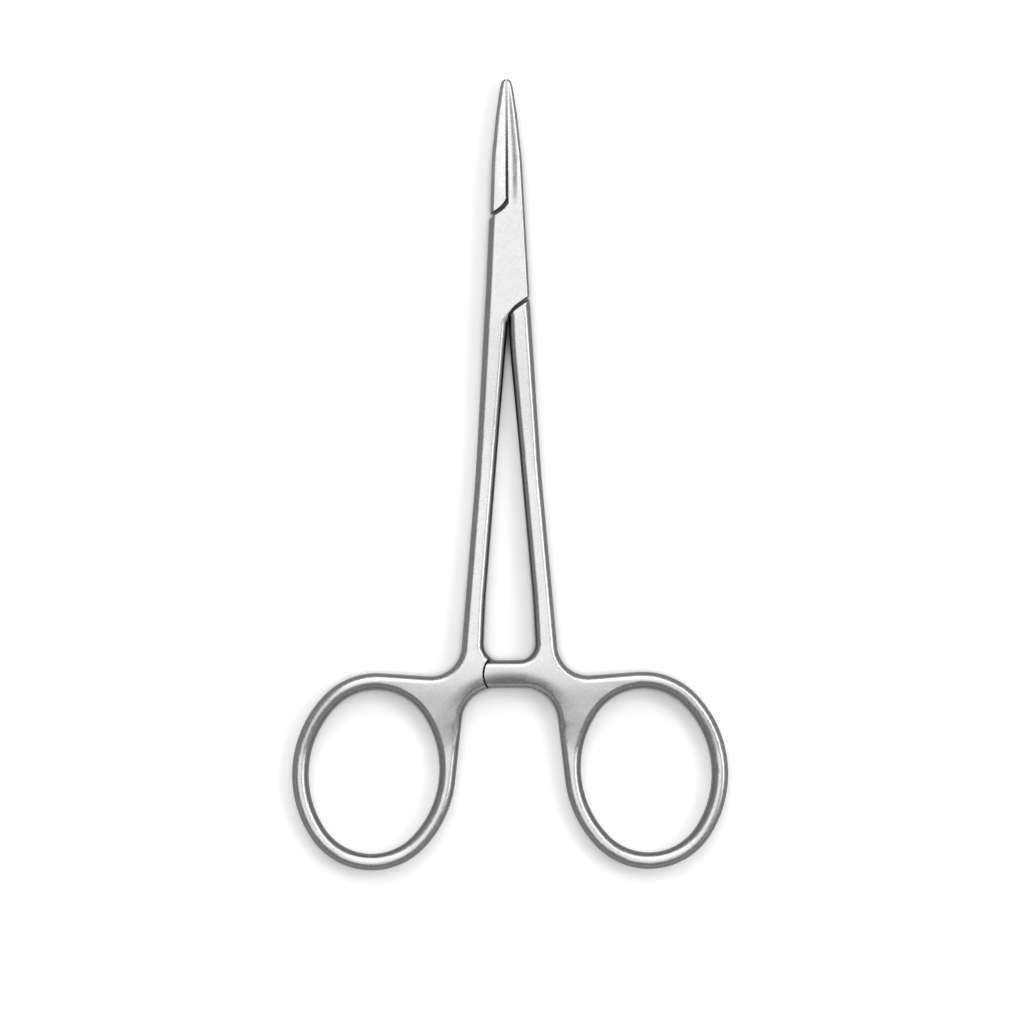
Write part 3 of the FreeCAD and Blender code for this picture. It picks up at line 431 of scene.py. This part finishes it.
@dataclass(frozen=True)
class SatinSteel:
    """Satin stainless steel: blasted grain, painted shade on its flanks and in its gaps, and worn edges,
    smoother and with a painted highlight.
    """

    name: str
    tone: Colour = (0.56, 0.56, 0.56)
    # painted shade: colour of the steep flanks, much darker than the tops
    flank_shade_tone: Colour = (0.18, 0.18, 0.181)
    # painted shade: colour of the deepest gaps and seams
    crevice_shade_tone: Colour = (0.03, 0.03, 0.03)
    # painted highlight: brighter colour along the worn edges
    edge_highlight_tone: Colour = (0.60, 0.60, 0.60)
    edge_highlight_share: float = 0.6
    roughness: float = 0.32
    roughness_swing: float = 0.05
    grain_low: float = 0.86
    grain_high: float = 1.14
    grain_depth: float = 0.010 * MM
    grain_strength: float = 0.25
    edge_radius: float = 0.10 * MM
    grazing_tone: float = 0.7
    # painted shade in the box lock's seams: reach and thresholds
    seam_shade_reach: float = 0.9 * MM
    seam_shade_open: float = 0.78
    seam_shade_deep: float = 0.36

    def colour(
        self, tree: Tree, grain: bpy.types.Node, masks: tuple[bpy.types.NodeSocket, ...]
    ) -> bpy.types.NodeSocket:
        """Mixes the steel's colour over the surface.

        Args:
            tree: the material's tree.
            grain: the placed grain group.
            masks: painted flank shade, painted edge highlight and painted gap shade masks.

        Returns:
            The colour socket.
        """
        base: object = (*self.tone, 1.0)
        for share, other in zip(masks, (self.flank_shade_tone, self.edge_highlight_tone, self.crevice_shade_tone)):
            mix = tree.node("ShaderNodeMix", data_type="RGBA")
            tree.feed(mix.inputs["Factor"], share)
            tree.feed(mix.inputs[6], base)
            tree.feed(mix.inputs[7], (*other, 1.0))
            base = mix.outputs[2]
        shade = tree.spread(grain.outputs["Shade"], *NOISE_SPREAD, self.grain_low, self.grain_high)
        dim = tree.node("ShaderNodeVectorMath", operation="SCALE")
        tree.feed(dim.inputs[0], base)
        tree.feed(dim.inputs["Scale"], shade)
        return dim.outputs[0]

    def material(self) -> bpy.types.Material:
        """Builds the material, or finds it.

        Returns:
            The node material.
        """
        made = bpy.data.materials.get(self.name)
        if made:
            return made
        made = bpy.data.materials.new(self.name)
        made.use_nodes = True
        tree = Tree(made.node_tree)
        steel = made.node_tree.nodes["Principled BSDF"]
        grain = tree.node("ShaderNodeGroup", node_tree=BlastedGrain().group())
        edge = tree.node("ShaderNodeGroup", node_tree=RubbedEdgeAndHighlight().group())
        flank = tree.node("ShaderNodeGroup", node_tree=PaintedFlankShade().group())
        gap = tree.node("ShaderNodeGroup", node_tree=PaintedCreviceShade().group())
        seam = tree.node("ShaderNodeGroup", node_tree=PaintedCreviceShade().group())
        seam.inputs["Reach"].default_value = self.seam_shade_reach
        seam.inputs["Open from"].default_value = self.seam_shade_open
        seam.inputs["Deep from"].default_value = self.seam_shade_deep
        edge.inputs["Radius"].default_value = self.edge_radius
        # painted highlight along the edges; the same mask also makes them smoother below
        edge_highlight = tree.maths("MULTIPLY", edge.outputs["Mask"], self.edge_highlight_share)
        # painted shade in gaps and seams, whichever is deeper
        crevice_shade_mask = tree.maths("MAXIMUM", gap.outputs["Mask"], seam.outputs["Mask"])
        masks = (flank.outputs["Flank"], edge_highlight, crevice_shade_mask)
        tree.feed(steel.inputs["Base Color"], self.colour(tree, grain, masks))
        steel.inputs["Metallic"].default_value = 1.0
        steel.inputs["Specular Tint"].default_value = (*[self.grazing_tone] * 3, 1.0)
        low = self.roughness - self.roughness_swing
        high = self.roughness + self.roughness_swing
        rough = tree.spread(grain.outputs["Shade"], *NOISE_SPREAD, low, high)
        polish = tree.maths("MULTIPLY", edge.outputs["Mask"], self.roughness_swing)
        tree.feed(steel.inputs["Roughness"], tree.maths("SUBTRACT", rough, polish, clamp=True))
        bump = tree.node("ShaderNodeBump")
        tree.feed(bump.inputs["Strength"], self.grain_strength)
        tree.feed(bump.inputs["Distance"], self.grain_depth)
        tree.feed(bump.inputs["Height"], grain.outputs["Height"])
        crown = tree.node("ShaderNodeGroup", node_tree=GroundCrown().group())
        turned = tree.node("ShaderNodeVectorMath", operation="ADD")
        tree.feed(turned.inputs[0], edge.outputs["Normal"])
        tree.feed(turned.inputs[1], crown.outputs["Tilt"])
        unit = tree.node("ShaderNodeVectorMath", operation="NORMALIZE")
        tree.feed(unit.inputs[0], turned.outputs[0])
        tree.feed(bump.inputs["Normal"], unit.outputs[0])
        tree.feed(steel.inputs["Normal"], bump.outputs["Normal"])
        return made


@dataclass
class SmoothSkin:
    """Welds a solid's loose triangles to one skin, smooth except at its creases."""

    weld: float = 0.0006 * MM
    crease: float = math.radians(28.0)
    tree: bpy.types.NodeTree | None = field(default=None, init=False)
    keys: dict[str, str] = field(default_factory=dict, init=False)

    def build(self) -> bpy.types.NodeTree:
        """Builds the geometry tree once.

        Returns:
            The geometry node tree.
        """
        if self.tree:
            return self.tree
        group = bpy.data.node_groups.new("smooth_skin", "GeometryNodeTree")
        group.interface.new_socket("Geometry", in_out="INPUT", socket_type="NodeSocketGeometry")
        for label, kind in (
            ("Weld distance", "NodeSocketFloat"),
            ("Crease angle", "NodeSocketFloat"),
            ("Finish", "NodeSocketMaterial"),
        ):
            self.keys[label] = group.interface.new_socket(label, in_out="INPUT", socket_type=kind).identifier
        group.interface.new_socket("Geometry", in_out="OUTPUT", socket_type="NodeSocketGeometry")
        tree = Tree(group)
        source = tree.node("NodeGroupInput")
        target = tree.node("NodeGroupOutput")
        weld = tree.node("GeometryNodeMergeByDistance")
        tree.feed(weld.inputs["Geometry"], source.outputs["Geometry"])
        tree.feed(weld.inputs["Distance"], source.outputs["Weld distance"])
        turn = tree.node("GeometryNodeInputMeshEdgeAngle")
        crease = tree.node("FunctionNodeCompare", data_type="FLOAT", operation="LESS_THAN")
        tree.feed(crease.inputs["A"], turn.outputs["Unsigned Angle"])
        tree.feed(crease.inputs["B"], source.outputs["Crease angle"])
        faces = tree.node("GeometryNodeSetShadeSmooth", domain="FACE")
        tree.feed(faces.inputs["Geometry"], weld.outputs[0])
        edges = tree.node("GeometryNodeSetShadeSmooth", domain="EDGE")
        tree.feed(edges.inputs["Geometry"], faces.outputs[0])
        tree.feed(edges.inputs["Shade Smooth"], crease.outputs["Result"])
        real = tree.node("GeometryNodeRealizeInstances")
        tree.feed(real.inputs[0], edges.outputs[0])
        dress = tree.node("GeometryNodeSetMaterial")
        tree.feed(dress.inputs["Geometry"], real.outputs[0])
        tree.feed(dress.inputs["Material"], source.outputs["Finish"])
        tree.feed(target.inputs[0], dress.outputs[0])
        self.tree = group
        return group

    def dress(self, node: str, name: str, finish: bpy.types.Material) -> bpy.types.Object:
        """Makes a smooth piece from a copy of a solid's mesh.

        Args:
            node: the solid's node.
            name: the new piece's name.
            finish: its material.

        Returns:
            The new piece, with a plain mesh and no modifier.
        """
        piece = bpy.data.objects.new(name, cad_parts[node].data.copy())
        bpy.context.scene.collection.objects.link(piece)
        piece.data.materials.clear()
        if piece.data.has_custom_normals:
            piece.data.normals_split_custom_set([(0.0, 0.0, 0.0)] * len(piece.data.loops))
        skin = piece.modifiers.new("skin", "NODES")
        skin.node_group = self.build()
        skin[self.keys["Weld distance"]] = self.weld
        skin[self.keys["Crease angle"]] = self.crease
        skin[self.keys["Finish"]] = finish
        weights = piece.modifiers.new("weights", "WEIGHTED_NORMAL")
        weights.keep_sharp = True
        shape = piece.evaluated_get(bpy.context.evaluated_depsgraph_get())
        mesh = bpy.data.meshes.new_from_object(shape)
        piece.modifiers.clear()
        piece.data = mesh
        mesh.name = name
        return piece


def join(piece: bpy.types.Object, node: str, body: Body) -> bpy.types.Object:
    """Joins a dressed piece to its body, in the place of its solid.

    Args:
        piece: the dressed piece.
        node: the solid's node.
        body: the body that carries the piece.

    Returns:
        The piece.
    """
    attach(piece, body.value)
    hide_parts(node)
    log.info("%s: %d faces on %s", piece.name, len(piece.data.polygons), body.value)
    return piece


@dataclass
class ForgedHalf:
    """One forged half: finger ring, ratchet arm, shank, its part of the box lock and its jaw."""

    node: str
    body: Body
    finish: SatinSteel
    slot: Slot = Slot.SATIN_STEEL

    def build(self, skin: SmoothSkin) -> bpy.types.Object:
        """Makes the half's piece and joins it to its body.

        Args:
            skin: the maker of smooth skins.

        Returns:
            The piece.
        """
        piece = skin.dress(self.node, f"{self.node}_forging", self.finish.material())
        return join(piece, self.node, self.body)


@dataclass
class HingePin:
    """The pin of the box lock, ground flush with both cheeks."""

    finish: SatinSteel
    node: str = "lock_pin"
    body: Body = Body.BOX_HALF
    slot: Slot = Slot.PIN_STEEL

    def build(self, skin: SmoothSkin) -> bpy.types.Object:
        """Makes the pin's piece and joins it to its body.

        Args:
            skin: the maker of smooth skins.

        Returns:
            The piece.
        """
        piece = skin.dress(self.node, "flush_pin", self.finish.material())
        return join(piece, self.node, self.body)


@dataclass(frozen=True)
class Softbox:
    """A rectangular lamp with an even face."""

    name: str
    place: tuple[float, float, float]
    width: float
    length: float
    glow: float
    aim: tuple[float, float, float] = (0.0, 0.0, 0.0)

    def build(self) -> bpy.types.Object:
        """Adds the lamp.

        Returns:
            The lamp's object.
        """
        data = bpy.data.lights.new(self.name, "AREA")
        data.shape = "RECTANGLE"
        data.size = self.width
        data.size_y = self.length
        data.energy = self.glow * math.pi * self.width * self.length
        lamp = bpy.data.objects.new(self.name, data)
        bpy.context.scene.collection.objects.link(lamp)
        lamp.location = self.place
        towards = Vector(self.aim) - Vector(self.place)
        lamp.rotation_euler = towards.to_track_quat("-Z", "Y").to_euler()
        return lamp


@dataclass
class Studio:
    """Pale floor, soft light from above and from the right, and a camera straight above.

    The surroundings are pale up to horizon_to and dim from sky_from, each the sine of an angle
    above the floor.
    """

    floor_tone: float = 0.95
    floor_swing: float = 0.004
    floor_cells: float = 90.0
    floor_lift: float = 0.27
    # painted contact shadow round the instrument, cut into the floor's lift
    painted_shadow_reach: float = 1.2 * MM
    painted_shadow_full_at: float = 0.30
    painted_shadow_clear_at: float = 0.95
    painted_shadow_samples: int = 16
    floor_half: float = 6.0
    sky_tone: float = 0.20
    horizon_tone: float = 0.70
    horizon_to: float = 0.26
    sky_from: float = 0.60
    floor_drop: float = 0.02 * MM
    frame_width: float = 0.162
    camera_rise: float = 0.9
    camera_across: float = 0.52 * MM
    camera_along: float = -5.94 * MM
    camera_sees: tuple[float, float] = (0.05, 50.0)
    sensor: float = 36.0
    lamps: tuple[Softbox, ...] = (
        Softbox("overhead", (-0.08, 0.045, 1.0), 0.54, 0.63, 1.62, (-0.08, 0.045, 0.0)),
        Softbox("back", (-0.1, 1.87, 2.0), 1.8, 2.3, 2.6, (-0.1, 1.87, 0.0)),
        Softbox("side", (1.29, 0.35, 1.78), 1.6, 0.75, 3.6),
    )

    def paper(self) -> bpy.types.Material:
        """Makes the floor's pale paper.

        Its own colour carries the shadow. A lift for the rays that show it as a background makes it white;
        the lift fades where the instrument is close, which paints a contact shadow round it.

        Returns:
            The node material.
        """
        finish = bpy.data.materials.new("pale_paper")
        finish.use_nodes = True
        tree = Tree(finish.node_tree)
        tree.tree.nodes.remove(tree.tree.nodes["Principled BSDF"])
        place = tree.node("ShaderNodeTexCoord").outputs["Object"]
        mottle = tree.noise(place, self.floor_cells, detail=2.0, roughness=0.5)
        low, high = self.floor_tone - self.floor_swing, self.floor_tone + self.floor_swing
        tone = tree.spread(mottle, *NOISE_SPREAD, low, high)
        colour = tree.node("ShaderNodeCombineColor")
        for socket in colour.inputs:
            tree.feed(socket, tone)
        matt = tree.node("ShaderNodeBsdfDiffuse")
        tree.feed(matt.inputs["Color"], colour.outputs[0])
        rays = tree.node("ShaderNodeLightPath")
        seen = tree.maths("MAXIMUM", rays.outputs["Is Camera Ray"], rays.outputs["Is Glossy Ray"])
        seen = tree.maths("MAXIMUM", seen, rays.outputs["Is Transmission Ray"])
        # painted contact shadow: ambient occlusion fades the lift where the instrument is close
        near = tree.node("ShaderNodeAmbientOcclusion", samples=self.painted_shadow_samples)
        tree.feed(near.inputs["Distance"], self.painted_shadow_reach)
        clear = near.outputs["AO"]
        lift_outside_painted_shadow = tree.spread(clear, self.painted_shadow_full_at, self.painted_shadow_clear_at, 0.0, self.floor_lift)
        lift = tree.node("ShaderNodeEmission")
        tree.feed(lift.inputs["Strength"], tree.maths("MULTIPLY", seen, lift_outside_painted_shadow))
        both = tree.node("ShaderNodeAddShader")
        tree.feed(both.inputs[0], matt.outputs[0])
        tree.feed(both.inputs[1], lift.outputs[0])
        tree.feed(tree.tree.nodes["Material Output"].inputs["Surface"], both.outputs[0])
        return finish

    def floor(self) -> None:
        """Lays the pale floor under the instrument."""
        half, low = self.floor_half, -self.floor_drop
        corners = [(-half, -half, low), (half, -half, low), (half, half, low), (-half, half, low)]
        mesh = bpy.data.meshes.new("floor")
        mesh.from_pydata(corners, [], [(0, 1, 2, 3)])
        floor = bpy.data.objects.new("floor", mesh)
        bpy.context.scene.collection.objects.link(floor)
        mesh.materials.append(self.paper())

    def sky(self) -> None:
        """Sets the surroundings: a pale room round a dim ceiling."""
        world = bpy.data.worlds.new("surroundings")
        world.use_nodes = True
        tree = Tree(world.node_tree)
        rise = tree.node("ShaderNodeSeparateXYZ")
        tree.feed(rise.inputs[0], tree.node("ShaderNodeTexCoord").outputs["Generated"])
        height = rise.outputs["Z"]
        tone = tree.spread(height, self.horizon_to, self.sky_from, self.horizon_tone, self.sky_tone)
        room = world.node_tree.nodes["Background"]
        tree.feed(room.inputs["Strength"], tone)
        room.inputs["Color"].default_value = (1.0, 1.0, 1.0, 1.0)
        bpy.context.scene.world = world

    def camera(self) -> None:
        """Hangs the camera straight above the instrument."""
        data = bpy.data.cameras.new("camera")
        data.sensor_width = self.sensor
        data.lens = self.sensor * self.camera_rise / self.frame_width
        data.clip_start, data.clip_end = self.camera_sees
        camera = bpy.data.objects.new("camera", data)
        bpy.context.scene.collection.objects.link(camera)
        middle = (CAD_LOW.z + CAD_HIGH.z) / 2
        camera.location = (self.camera_across, self.camera_along, middle + self.camera_rise)
        camera.rotation_euler = (0.0, 0.0, PHOTO_ROLL)
        bpy.context.scene.camera = camera

    def build(self) -> None:
        """Builds the whole studio."""
        self.floor()
        self.sky()
        self.camera()
        for lamp in self.lamps:
            lamp.build()
        bpy.context.scene.view_settings.view_transform = "Standard"


def main() -> None:
    """Builds the instrument, then the studio round it."""
    logging.basicConfig(level=logging.INFO, format="%(message)s")
    skin = SmoothSkin()
    satin = SatinSteel("satin_steel_finish")
    ForgedHalf("box_half", Body.BOX_HALF, satin).build(skin)
    ForgedHalf("through_half", Body.THROUGH_HALF, satin).build(skin)
    # no painted edge highlight on the flush pin
    HingePin(SatinSteel("pin_steel_finish", edge_highlight_share=0.0)).build(skin)
    Studio().build()


if __name__ == "__main__":
    main()
